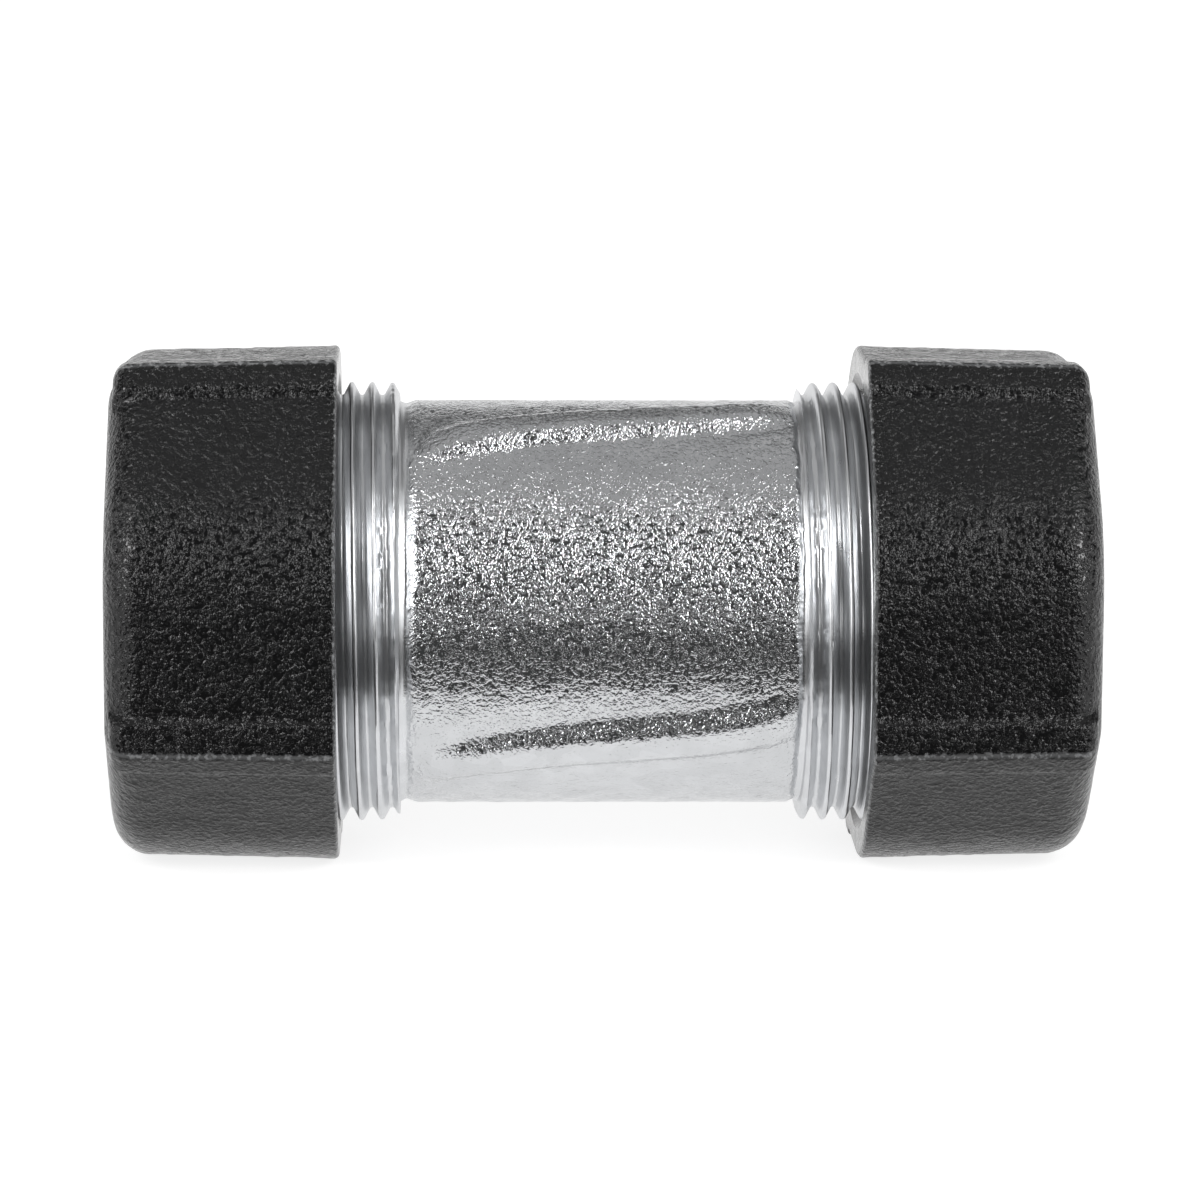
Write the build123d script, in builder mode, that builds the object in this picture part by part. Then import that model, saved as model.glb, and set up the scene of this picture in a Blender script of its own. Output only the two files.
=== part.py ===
from build123d import *

import os
from math import cos, radians, sin, tan

# Clamp coupling for two plain steel pipe ends, with its two nuts hand-tight.
# X runs along the pipes, from the left nut to the right one, Z is up, and the origin is the
# coupling's centre. The front, between two slanting ribs, looks towards -Y. Millimetres.

# The pipe that the coupling grips, 1 inch steel pipe
pipe_diameter = 33.7

# Cast body
body_length = 84.0
thread_length = 19.4
neck_width = 1.2
neck_step = 0.4            # the neck is turned this much below the barrel
guide_length = 12.5        # bored land that guides the pipe
guide_clearance = 0.45     # radial, to the pipe
core_relief = 1.6          # the cored middle is this much wider than the lands
core_taper_length = 2.0
barrel_wall = 4.1
seat_step = 1.3            # flat shoulder behind the seal
seat_depth = 7.5
seat_angle = 21.8          # slope of the seal's seat, in degrees
mouth_wall = 3.4           # from the mouth of the seat to the thread's crests
thread_chamfer = 1.2

# Slanting ribs on the barrel, each the top of a long oval that is sunk in the wall
rib_height = 1.0
rib_sink = 1.2             # depth of the oval's middle below the barrel's surface
rib_width = 7.5            # of the whole oval
rib_slant = 11.0           # degrees, rising to the right
rib_left_overrun = 0.5     # the oval's sunk tips lie this far past the barrel's ends
rib_right_overrun = 1.5
rib_angles = (-35.5, 64.5)  # degrees above the front, and again on the back

# Seal
seal_length = 9.0
seal_clearance = 0.15      # radial, to its seat
seal_bore_clearance = 0.25  # radial, to the pipe

# Pressure washer
washer_thickness = 2.0
washer_overlap = 1.2       # radial, past the mouth of the seat
washer_bore_clearance = 0.75

# Clamp ring
ring_length = 6.9
ring_gap = 0.3             # to the washer before it and the nut's lip behind it
ring_bore_clearance = 0.35
ring_lip = 1.7             # wall at its thin end
ring_band = 0.6            # straight part at its thick end
ring_slit = 3.2
tooth_count = 4
tooth_depth = 0.7
cone_angle = 30.0          # slope of the ring's cone, in degrees
cone_clearance = 0.3       # radial, between the ring and the nut's cone

# Clamp nut
nut_length = 25.5
nut_wall = 3.7             # from the thread to a flat, at the inner end
nut_draft = 1.3            # degrees, narrower towards the outer end
nut_lip_thickness = 2.0
nut_bore_clearance = 0.95  # radial, between the pipe and the lip
nut_mouth_chamfer = 1.0
nut_lip_chamfer = 0.6
nut_edge_round = 0.6       # round on the edge of the inner end
nut_corner_round = 20.0    # radius of the four soft corners
nut_end_round = 4.2        # radius of the outer rim
thread_clearance = 0.08    # radial, between the thread's crests and the nut
pad_height = 0.7           # raised ribs along the four sharp corners
pad_width = 3.6
pad_end_round = 2.0
pad_end_step = 0.6         # the ribs stop this much before the outer face
pad_root_depth = 3.0
nut_lean = 3.0             # degrees, so that a rib and the soft corner beside it touch the ground

# Places along the axis, measured from the centre
mouth_x = body_length / 2
thread_x = mouth_x - thread_length
barrel_x = thread_x - neck_width
seat_x = mouth_x - seat_depth
guide_x = seat_x - guide_length
core_x = guide_x - core_taper_length
seal_end_x = seat_x + seal_length
washer_end_x = seal_end_x + washer_thickness
ring_x = washer_end_x + ring_gap
ring_cone_x = ring_x + ring_band
ring_end_x = ring_x + ring_length
lip_x = ring_end_x + ring_gap
nut_end_x = lip_x + nut_lip_thickness
nut_x = nut_end_x - nut_length

rib_length = (2 * barrel_x + rib_left_overrun + rib_right_overrun) / cos(radians(rib_slant))

# Radii
pipe_radius = pipe_diameter / 2
guide_radius = pipe_radius + guide_clearance
core_radius = guide_radius + core_relief
barrel_radius = core_radius + barrel_wall
neck_radius = barrel_radius - neck_step
seat_radius = guide_radius + seat_step
mouth_radius = seat_radius + seat_depth * tan(radians(seat_angle))
thread_radius = mouth_radius + mouth_wall
washer_radius = mouth_radius + washer_overlap
ring_bore_radius = pipe_radius + ring_bore_clearance
ring_end_radius = ring_bore_radius + ring_lip
cone_slope = tan(radians(cone_angle))
ring_radius = ring_end_radius + (ring_end_x - ring_cone_x) * cone_slope
cone_radius = ring_radius + cone_clearance
cone_end_radius = cone_radius - (lip_x - ring_cone_x) * cone_slope
nut_thread_radius = thread_radius + thread_clearance
nut_opening_radius = pipe_radius + nut_bore_clearance

# The nut is an octagon: half_side_angle lies between a corner and the middle of a flat
nut_sides = 8
half_side_angle = 180 / nut_sides
nut_apothem = nut_thread_radius + nut_wall
nut_end_apothem = nut_apothem - nut_length * tan(radians(nut_draft))
pad_reach = (nut_apothem + pad_height) / cos(radians(half_side_angle))
pad_end_reach = (nut_end_apothem + pad_height) / cos(radians(half_side_angle))
first_pad_angle = 3 * half_side_angle - nut_lean


def rib_plane(angle):
    """Plane through the middle of a rib's oval, looking outwards at this angle above the front."""
    outwards = Vector(0, -cos(radians(angle)), sin(radians(angle)))
    upwards = Vector(0, sin(radians(angle)), cos(radians(angle)))
    along = Vector(cos(radians(rib_slant)), 0, 0) + upwards * sin(radians(rib_slant))
    middle = Vector((rib_right_overrun - rib_left_overrun) / 2, 0, 0)
    return Plane(middle + outwards * (barrel_radius - rib_sink), x_dir=along, z_dir=outwards)


def nut_plane(x):
    """Plane across the axis at x, with its own X axis through a raised corner rib."""
    angle = radians(first_pad_angle)
    return Plane(origin=(x, 0, 0), x_dir=(0, -cos(angle), sin(angle)), z_dir=(1, 0, 0))


def octagon():
    """Octagon with four sharp corners on its axes and four rounded ones between them."""
    RegularPolygon(radius=nut_apothem, side_count=nut_sides, major_radius=False)
    soft_corners = [corner for corner in vertices() if abs(corner.X * corner.Y) > 1]
    fillet(soft_corners, radius=nut_corner_round)


def corner_pads():
    """Raised ribs over the octagon's sharp corners, rooted inside it."""
    angle = radians(half_side_angle)
    tip = Vector(pad_reach, 0)
    shoulder = tip + Vector(-sin(angle), cos(angle)) * pad_width
    root = shoulder - Vector(cos(angle), sin(angle)) * (pad_height + pad_root_depth)
    with PolarLocations(0, nut_sides // 2):
        Polygon(tip, shoulder, root, (root.X, -root.Y), (shoulder.X, -shoulder.Y), align=None)


with BuildPart() as barrel_rib:
    Sphere(radius=1)
    scale(by=(rib_length / 2, rib_width / 2, rib_height + rib_sink))

with BuildPart() as coupling_body:
    with BuildSketch(Plane.XY):
        with BuildLine():
            Polyline(
                (0, core_radius),
                (core_x, core_radius),
                (guide_x, guide_radius),
                (seat_x, guide_radius),
                (seat_x, seat_radius),
                (mouth_x, mouth_radius),
                (mouth_x, thread_radius - thread_chamfer),
                (mouth_x - thread_chamfer, thread_radius),
                (thread_x + thread_chamfer, thread_radius),
                (thread_x, thread_radius - thread_chamfer),
                (thread_x, neck_radius),
                (barrel_x, neck_radius),
                (barrel_x, barrel_radius),
                (0, barrel_radius),
            )
            mirror(about=Plane.YZ)
        make_face()
    revolve(axis=Axis.X)
    with Locations(*[rib_plane(angle + turn) for angle in rib_angles for turn in (0, 180)]):
        add(barrel_rib.part)
coupling_body.part.label = "coupling_body"

with BuildPart() as right_seal:
    with BuildSketch(Plane.XY):
        with BuildLine():
            Polyline(
                (seat_x, pipe_radius + seal_bore_clearance),
                (seal_end_x, pipe_radius + seal_bore_clearance),
                (seal_end_x, mouth_radius - seal_clearance),
                (mouth_x, mouth_radius - seal_clearance),
                (seat_x, seat_radius - seal_clearance),
                close=True,
            )
        make_face()
    revolve(axis=Axis.X)

with BuildPart() as right_pressure_washer:
    with BuildSketch(Plane.YZ.offset(seal_end_x)):
        Circle(washer_radius)
        Circle(pipe_radius + washer_bore_clearance, mode=Mode.SUBTRACT)
    extrude(amount=washer_thickness)

with BuildPart() as right_clamp_ring:
    tooth_pitch = ring_length / tooth_count
    with BuildSketch(Plane.XY):
        with BuildLine():
            Polyline(
                (ring_x, ring_bore_radius),
                (ring_x, ring_radius),
                (ring_cone_x, ring_radius),
                (ring_end_x, ring_end_radius),
                (ring_end_x, ring_bore_radius),
                close=True,
            )
        make_face()
        for tooth in range(tooth_count):
            tooth_x = ring_x + tooth * tooth_pitch
            with BuildLine():
                Polyline(
                    (tooth_x, ring_bore_radius),
                    (tooth_x + tooth_pitch, ring_bore_radius),
                    (tooth_x, ring_bore_radius + tooth_depth),
                    close=True,
                )
            make_face(mode=Mode.SUBTRACT)
    revolve(axis=Axis.X)
    with BuildSketch(Plane.XY):
        with Locations((ring_x, 0)):
            Rectangle(ring_length, ring_slit, align=(Align.MIN, Align.CENTER))
    extrude(amount=ring_radius, mode=Mode.SUBTRACT)

with BuildPart() as nut_pads:
    with BuildSketch(nut_plane(nut_x)):
        corner_pads()
    extrude(amount=nut_length, taper=nut_draft)
    with BuildSketch(Plane.XY):
        with BuildLine():
            end = Vector(nut_end_x - pad_end_step, pad_end_reach - pad_end_round)
            side = Vector(end.X - pad_end_round, pad_end_reach)
            start = Vector(nut_x, pad_reach - nut_edge_round)
            start_side = Vector(nut_x + nut_edge_round, pad_reach)
            RadiusArc(end, side, -pad_end_round)
            Line(side, start_side)
            RadiusArc(start_side, start, -nut_edge_round)
            Polyline(start, (nut_x, 0), (end.X, 0), end)
        make_face()
    revolve(axis=Axis.X, mode=Mode.INTERSECT)

with BuildPart() as right_nut:
    with BuildSketch(nut_plane(nut_x)):
        octagon()
    extrude(amount=nut_length, taper=nut_draft)
    fillet(faces().sort_by(Axis.X)[0].edges(), radius=nut_edge_round)
    fillet(faces().sort_by(Axis.X)[-1].edges(), radius=nut_end_round)
    add(nut_pads.part)
    with BuildSketch(Plane.XY):
        with BuildLine():
            Polyline(
                (nut_x, 0),
                (nut_x, nut_thread_radius + nut_mouth_chamfer),
                (nut_x + nut_mouth_chamfer, nut_thread_radius),
                (ring_cone_x, nut_thread_radius),
                (ring_cone_x, cone_radius),
                (lip_x, cone_end_radius),
                (lip_x, nut_opening_radius),
                (nut_end_x - nut_lip_chamfer, nut_opening_radius),
                (nut_end_x, nut_opening_radius + nut_lip_chamfer),
                (nut_end_x, 0),
                close=True,
            )
        make_face()
    revolve(axis=Axis.X, mode=Mode.SUBTRACT)

right_pieces = {
    "seal": right_seal,
    "pressure_washer": right_pressure_washer,
    "clamp_ring": right_clamp_ring,
    "nut": right_nut,
}

os.makedirs("parts", exist_ok=True)
export_step(coupling_body.part, "parts/coupling_body.step")
for name, right in right_pieces.items():
    right.part.label = "right_" + name
    export_step(right.part, "parts/right_" + name + ".step")
    with BuildPart() as left:
        mirror(right.part, about=Plane.YZ)
    left.part.label = "left_" + name
    export_step(left.part, "parts/left_" + name + ".step")
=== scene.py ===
import itertools
from math import cos, pi, radians, sin, tan

import bmesh
import bpy
import numpy as np
from bpy.props import FloatProperty, FloatVectorProperty, PointerProperty
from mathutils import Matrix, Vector


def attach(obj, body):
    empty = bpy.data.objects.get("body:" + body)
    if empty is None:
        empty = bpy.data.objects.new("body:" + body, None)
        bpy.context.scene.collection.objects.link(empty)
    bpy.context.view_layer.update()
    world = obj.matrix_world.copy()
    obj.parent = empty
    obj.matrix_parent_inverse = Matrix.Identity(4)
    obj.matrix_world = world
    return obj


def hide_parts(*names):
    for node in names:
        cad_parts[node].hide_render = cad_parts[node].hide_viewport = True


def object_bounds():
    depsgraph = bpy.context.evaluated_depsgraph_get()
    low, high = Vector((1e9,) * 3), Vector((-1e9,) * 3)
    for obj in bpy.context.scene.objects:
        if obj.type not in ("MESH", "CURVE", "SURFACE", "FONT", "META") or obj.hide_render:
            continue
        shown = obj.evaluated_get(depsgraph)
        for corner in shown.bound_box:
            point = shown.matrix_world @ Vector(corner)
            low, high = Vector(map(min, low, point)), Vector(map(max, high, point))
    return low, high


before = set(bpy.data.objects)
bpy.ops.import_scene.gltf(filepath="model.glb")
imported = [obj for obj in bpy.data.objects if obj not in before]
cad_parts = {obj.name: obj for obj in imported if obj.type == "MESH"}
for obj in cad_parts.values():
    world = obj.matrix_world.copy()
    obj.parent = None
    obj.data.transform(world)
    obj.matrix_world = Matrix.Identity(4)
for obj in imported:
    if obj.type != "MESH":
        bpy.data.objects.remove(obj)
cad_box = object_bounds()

bl_info = {
    "name": "Pipe clamp coupling",
    "version": (1, 0, 0),
    "blender": (4, 5, 0),
    "location": "View3D > Sidebar > Coupling",
    "description": "Builds a cast pipe clamp coupling with its two clamp nuts",
    "category": "Add Mesh",
}

# Lengths are in mm and angles in degrees, where no other unit is named. An X is a distance from
# the coupling's middle along its axis.
MM = 0.001
SIDES = {"left": -1, "right": 1}

# Sizes of the body that the solids have too
BARREL_RADIUS = 23.0
THREAD_X, THREAD_RADIUS = 22.6, 25.0
MOUTH_X, MOUTH_RADIUS, MOUTH_CHAMFER = 42.0, 21.6, 1.2
SEAT_X, SEAT_RADIUS = 34.5, 18.6
GUIDE_X, GUIDE_RADIUS = 22.0, 17.3
CORE_X, CORE_RADIUS = 20.0, 18.9

# The necks, a little lower than the solids'. A slope rises to the barrel between these distances
# from the neck's nominal end, and a small foot to the thread.
NECK_RADIUS = 22.45
LEFT_SLOPE_START, RIGHT_SLOPE_START, SLOPE_END = -1.4, -0.6, 0.35
THREAD_FOOT_HEIGHT, THREAD_FOOT_WIDTH = 0.35, 0.8

# The ribs on the barrel, higher than the solids' and bent along their length. Their flanks take
# this share of the half width.
RIB_ANGLES = (-36.5, 66.5, 143.5, 246.5)
RIB_MIDDLE = 1.0
RIB_HALF_LENGTH, RIB_HALF_WIDTH = 21.6, 3.7
RIB_HEIGHT = 1.35
RIB_FLANK = 0.7
RIB_RISE, RIB_TWIST, RIB_LEVEL_X = 0.1, 0.0002, 3.0

# The thread's form, where a crest of each thread starts at the angle 0, and its blunt first turn,
# torn where it stands over a radius and less and less up to a distance from the neck
FLANK_ANGLE = 27.5
CREST_START = {"left": 24.02, "right": 23.82}
THREAD_PHASES = (0, 0.07, 0.122, 0.25, 0.378, 0.43, 0.5, 0.57, 0.622, 0.75, 0.878, 0.93)
BLUNT_RADIUS, BLUNT_SLOPE = 24.35, 1.3
TORN_START, TORN_END = 0.9, 2.4
TORN_RADIUS, TORN_LEVEL, TORN_DEPTH = 23.6, 0.8, 0.1
TOOL_MARK_DEPTH = 0.02

# Sizes of a nut that the solids have too
NUT_X, NUT_END_X = 29.5, 55.0
NUT_APOTHEM = 28.78
NUT_DRAFT = 1.3
NUT_CORNER_ROUND = 20.0
NUT_END_ROUND = 4.2
NUT_EDGE_ROUND = 0.6
NUT_PAD_ANGLE = 25.5
PAD_HEIGHT, PAD_WIDTH = 0.7, 3.6
PAD_END_X, PAD_END_ROUND = 54.4, 2.0
NUT_MOUTH_RADIUS = 26.08
NUT_CONE = ((46.4, 22.84), (53.0, 19.03))
NUT_OPENING_RADIUS = 17.8
NUT_LIP_CHAMFER = 0.6
HALF_SIDE_ANGLE = 22.5
HALF_SIDE = radians(HALF_SIDE_ANGLE)

# The cast look of a nut: the distances from a corner between which a pad falls to the flat, the
# corner is rubbed down and its paint is worn and made lighter as a painted highlight, and those
# along X between which the inner end's paint is worn and made lighter as a painted highlight and
# its lumps grow to their full depth. A face's lumps fade in and out.
PAD_FOOT = (PAD_WIDTH - 0.35, PAD_WIDTH + 0.45)
CORNER_RUB, CORNER_RUB_DEPTH = (0, 0.4), 0.17
CORNER_WEAR_AND_HIGHLIGHT, CORNER_WEAR_AND_HIGHLIGHT_END_X = (0.1, 0.6), NUT_END_X - 0.5
EDGE_WEAR_AND_HIGHLIGHT = (NUT_X + 0.1, NUT_X + 0.5)
EDGE_CALM, CALM_SHARE = (NUT_X + 0.2, NUT_X + 1.2), 0.25
FACE_FADE_IN, FACE_FADE_OUT = (0, 0.2), (0.85, 1)

# How rough a skin is, from 0 for cut metal to 1 for a sand casting
ROUGH, CUT = 1.0, 0.0
BORE_SKIN, CONE_SKIN, MOUTH_SKIN, CONE_FOOT_SKIN, NUT_THREAD_SKIN = 0.1, 0.2, 0.15, 0.1, 0.05

# Random heights: the lattice's cells before it repeats, and the cell size, share and seed of each
# layer of noise
LATTICE = 32
LUMP_LAYERS = ((3.1, 0.4), (1.3, 0.35), (0.75, 0.25))
LUMP_TURN = ((0.8, 0.6, 0.0), (-0.48, 0.64, 0.6), (0.36, -0.48, 0.8))
LUMP_REACH = 0.6
EDGE_WAVER = ((2.1, 0.22, 11), (0.8, 0.1, 12))
TORN_CELL, TORN_SEED = 0.9, 31
TOOL_MARK_CELL, TOOL_MARK_SEED = 0.7, 32
BARREL_SEED = 21
NUT_SEED = {"left": 41, "right": 51}
FACE_SEED_STEP = 5

# Rows and columns of the grids
BODY_COLUMNS = 336
BARREL_END_ROWS = np.array(
    (0, 0.12, 0.3, 0.5, 0.7, 0.9, 1.1, 1.3, 1.5, 1.7, 1.9, 2.1, 2.3, 2.6, 3.0))
BARREL_MIDDLE_INSET, BARREL_MIDDLE_ROWS = 3.4, 100
NECK_SHARES, STRIP_SHARES = (0, 0.35, 0.7, 1), (0, 0.5, 1)
BODY_BORE_STEP, NUT_BORE_STEP = 4.0, 1.5
FLAT_NEAR_COLUMNS = (0, 0.1, 0.25, 0.7, 1.2, 1.8, 2.4, 2.9, 3.3, 3.5, 3.6, 3.72, 3.95, 4.3)
FLAT_FAR_START, FLAT_FAR_COLUMNS = 4.8, 22
CORNER_COLUMNS = 33
EDGE_ROWS, SIDE_ROWS, RIM_ROWS, FACE_ROWS, MOUTH_ROWS = 6, 42, 15, 14, 5
PAD_END_ROWS = np.array((1.3, 0.7, 0.35, 0.1, 0, -0.01))
PAD_END_MARGIN = 0.005

# Distances in metres for merging points, and the angles over which edges are sharp
MERGE_DISTANCE, DEGENERATE_LENGTH = 1e-6, 1e-7
BODY_SHARP_ANGLE, NUT_SHARP_ANGLE = 50, 38

# The cast skin: the scales of its pits and patches beside the bumps', the depth of the pits, and
# the noise levels between which bumps and their tops rise
PIT_SCALE, PIT_DEPTH, BROAD_SCALE = 1.2, 0.55, 0.16
BUMP_RAMP, TOPS_RAMP = (0.44, 0.8), (0.5, 0.75)

# Zinc: its grain beside the paint's, the texture scales per metre, how much spangle, patches and
# cast skin dull it, its roughness with that of patches and cut skin, and its finer bumps
ZINC_GRAIN, ZINC_SHIFT = 0.78, (0.013, 0.002, 0.007)
SPANGLE_SCALE, FINE_SCALE, CUT_SCALE = 420.0, 3300.0, 1900.0
CUT_WAVES = {"Distortion": 1.2, "Detail": 2.0, "Detail Scale": 0.4}
ZINC_DULL, SPANGLE_DULLS, PATCHES_DULL, CAST_DULLS = 0.78, 0.35, 0.5, 0.45
ZINC_ROUGHNESS, ZINC_PATCHES, ZINC_CUT = 0.04, 0.09, 0.21
FINE_HEIGHT, CUT_HEIGHT = 0.05, 0.08

# Paint: its tones beside the paint's and zinc's colours, where wear and a painted highlight show
# along edges, its gloss, and the share of the bumps that cut skin keeps
PAINT_THIN, PAINT_BARE_AND_HIGHLIGHT, PAINT_SPECULAR = 2.1, 0.3, 0.36
WEAR_AND_HIGHLIGHT_START, WEAR_AND_HIGHLIGHT_RAMP = 0.4, (0.2, 0.8)
PAINT_ROUGHNESS, PAINT_PATCHES = 0.06, 0.14
PAINT_SMOOTH_SHARE = 0.12

# Steel and rubber: texture scales per metre, second tones and roughness
RING_SCALE, RING_DISTORTION, STAIN_SCALE = 900.0, 1.5, 220.0
STEEL_STAINED, STAIN_RAMP = 0.6, (0.45, 0.75)
STEEL_ROUGHNESS, STEEL_STAINS = 0.26, 0.2
RUBBER_GRAIN_SCALE, CHALK_SCALE = 1500.0, 160.0
RUBBER_PALE, CHALK_RAMP, RUBBER_ROUGHNESS = 2.6, (0.45, 0.8), 0.62

# Heights in mm that a bump of 1 stands for, and how much of them shows
ZINC_BUMP, PAINT_BUMP, STEEL_BUMP, RUBBER_BUMP = 0.082, 0.15, 0.03, 0.08
STEEL_BUMP_STRENGTH, RUBBER_BUMP_STRENGTH = 0.4, 0.5

# Stage, in metres: each kind of lamp's distance, turn from the front, height and size, the floor's
# reach, tone and glow near and far, the flag on it that only reflections see, the levels of the
# world and the directions between which they change, and the camera
LAMPS = {"softbox": (0.75, 52, 22, (0.72, 1.0)), "lamp": (0.73, 45, 26, (0.15, 0.5))}
FLOOR_REACH, FLOOR_TONE = 12, 0.36
FLOOR_GLOW, FLOOR_GLOW_NEAR, FLOOR_GLOW_FAR = 0.82, 0.08, 0.4
FLAG_CORNERS, FLAG_GLOW = ((-0.1, -0.6), (0.1, -0.04)), 0.07
WORLD_LEVEL, OVERHEAD_LEVEL, STRIP_LEVEL, BACKDROP_LEVEL = 0.08, 0.42, 0.07, 0.88
OVERHEAD_RAMP, BEHIND_RAMP, LOW_RAMP = (0.8, 0.9), (0.0, 0.3), (0.5, 0.34)
CAMERA_TARGET, SENSOR_WIDTH, CLIP_RANGE = (0.00017, 0, 0.00011), 36, (0.02, 40)
WHITE = (1, 1, 1, 1)


class CouplingSizes(bpy.types.PropertyGroup):
    """Sizes of the threads, the necks and the cast lumps"""
    pitch: FloatProperty(
        name="Thread pitch", description="Travel of a nut in one turn", default=2.309 * MM,
        unit="LENGTH", precision=6)
    thread_depth: FloatProperty(
        name="Thread depth", description="From the rounded crest to the rounded root",
        default=1.479 * MM, unit="LENGTH", precision=6)
    thread_round: FloatProperty(
        name="Thread rounding", description="Radius at the crests and roots",
        default=0.317 * MM, unit="LENGTH", precision=6)
    thread_gap: FloatProperty(
        name="Thread gap", description="Radial gap between the nut's thread and the body's",
        default=0.1 * MM, unit="LENGTH", precision=6)
    left_neck: FloatProperty(
        name="Left neck", description="Width of the smooth neck left of the barrel",
        default=1.7 * MM, unit="LENGTH", precision=6)
    right_neck: FloatProperty(
        name="Right neck", description="Width of the smooth neck right of the barrel",
        default=0.9 * MM, unit="LENGTH", precision=6)
    cast_depth: FloatProperty(
        name="Cast lumps", description="Depth of the casting's larger lumps and pits",
        default=0.16 * MM, unit="LENGTH", precision=6)


class CouplingFinishes(bpy.types.PropertyGroup):
    """Colours of the four materials, and the grain of the cast skin"""
    zinc: FloatVectorProperty(
        name="Zinc", description="Colour of the galvanised casting", subtype="COLOR", size=3,
        default=(0.70, 0.71, 0.725), min=0, max=1)
    paint: FloatVectorProperty(
        name="Paint", description="Colour of the nuts' black paint", subtype="COLOR", size=3,
        default=(0.004, 0.004, 0.0042), min=0, max=1)
    steel: FloatVectorProperty(
        name="Steel", description="Colour of the plated rings and washers", subtype="COLOR",
        size=3, default=(0.60, 0.59, 0.55), min=0, max=1)
    rubber: FloatVectorProperty(
        name="Rubber", description="Colour of the seals", subtype="COLOR", size=3,
        default=(0.018, 0.018, 0.019), min=0, max=1)
    grain: FloatProperty(
        name="Cast grain", description="Size of the small bumps of the sand casting",
        default=0.6 * MM, unit="LENGTH", precision=6)


class CouplingStage(bpy.types.PropertyGroup):
    """Place of the camera, and brightness of the lamps"""
    distance: FloatProperty(
        name="Camera distance", description="From the camera to the coupling's middle",
        default=0.63, unit="LENGTH")
    lens: FloatProperty(
        name="Lens", description="Focal length of the camera, in mm", default=165.5)
    azimuth: FloatProperty(
        name="Azimuth", description="Turn of the camera round the coupling, to the right",
        default=radians(-1.6), subtype="ANGLE", unit="ROTATION")
    elevation: FloatProperty(
        name="Elevation", description="Height of the camera over the coupling",
        default=radians(7.5), subtype="ANGLE", unit="ROTATION")
    roll: FloatProperty(
        name="Roll", description="Turn of the picture, with the right end lower",
        default=radians(0.2), subtype="ANGLE", unit="ROTATION")
    softbox: FloatProperty(
        name="Softboxes", description="Brightness of the two wide softboxes", default=0.95)
    lamp: FloatProperty(
        name="Lamps", description="Brightness of the narrow lamp before each softbox",
        default=12.0)


def smooth_step(value, low, high):
    """0 below low, 1 above high, and s*s*(3 - 2*s) of the share s between them."""
    share = np.clip((value - low) / (high - low), 0, 1)
    return share * share * (3 - 2 * share)


def lattice_noise(points, cell, seed):
    """Random heights from -1 to 1 at the corners of a cubic lattice, blended smoothly inside
    each cell by the products of the shares along the three axes."""
    heights = np.random.default_rng(seed).uniform(-1, 1, (LATTICE, LATTICE, LATTICE))
    scaled = points / cell
    low = np.floor(scaled).astype(int)
    share = smooth_step(scaled - low, 0, 1)
    total = np.zeros(points.shape[:-1])
    for corner in itertools.product((0, 1), repeat=3):
        weight = np.prod(np.where(corner, share, 1 - share), axis=-1)
        place = (low + corner) % LATTICE
        total += weight * heights[place[..., 0], place[..., 1], place[..., 2]]
    return total


def cast_lumps(points, seed):
    """Height of a sand casting's lumps from -1 to 0: the sum of three layers of lattice noise,
    the middle one turned, clipped and lowered so that none stands proud."""
    turned = points @ np.array(LUMP_TURN)
    total = 0
    for layer, (cell, share) in enumerate(LUMP_LAYERS):
        total = total + share * lattice_noise(turned if layer == 1 else points, cell, seed + layer)
    return np.clip(total, -LUMP_REACH, LUMP_REACH) / (2 * LUMP_REACH) - 0.5


def polar(x, radius, angle):
    """Points at distance x along the axis, and at a radius and an angle about it, the angle
    turning from +Y to +Z."""
    x, radius, angle = np.broadcast_arrays(x, radius, angle)
    return np.stack((x, radius * np.cos(angle), radius * np.sin(angle)), axis=-1)


def on_side(side, points):
    """Points of the right end as they are, or turned by 180 degrees about Y for the left end,
    which keeps a thread's hand."""
    return points * (-1, 1, -1) if side == "left" else points


def between(start, end, shares):
    """Rows of points from one ring to another, start + s*(end - start) at each share s."""
    return start + np.array(shares)[:, None, None] * (end - start)


def arc_drop(past, radius):
    """How far an arc has fallen at a distance p past its start: r - sqrt(r*r - p*p)."""
    past = np.clip(past, 0, radius)
    return radius - np.sqrt(np.maximum(radius ** 2 - past ** 2, 0))


def spread(corners, step):
    """Rows along a profile: its corners, and points between them at most one step apart."""
    rows = [np.array(corners[:1], float)]
    for start, end in zip(corners, corners[1:]):
        count = max(1, int(np.ceil(np.hypot(end[0] - start[0], end[1] - start[1]) / step)))
        share = np.arange(1, count + 1)[:, None] / count
        rows.append(np.array(start) + share * (np.array(end) - np.array(start)))
    return np.concatenate(rows)


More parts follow.
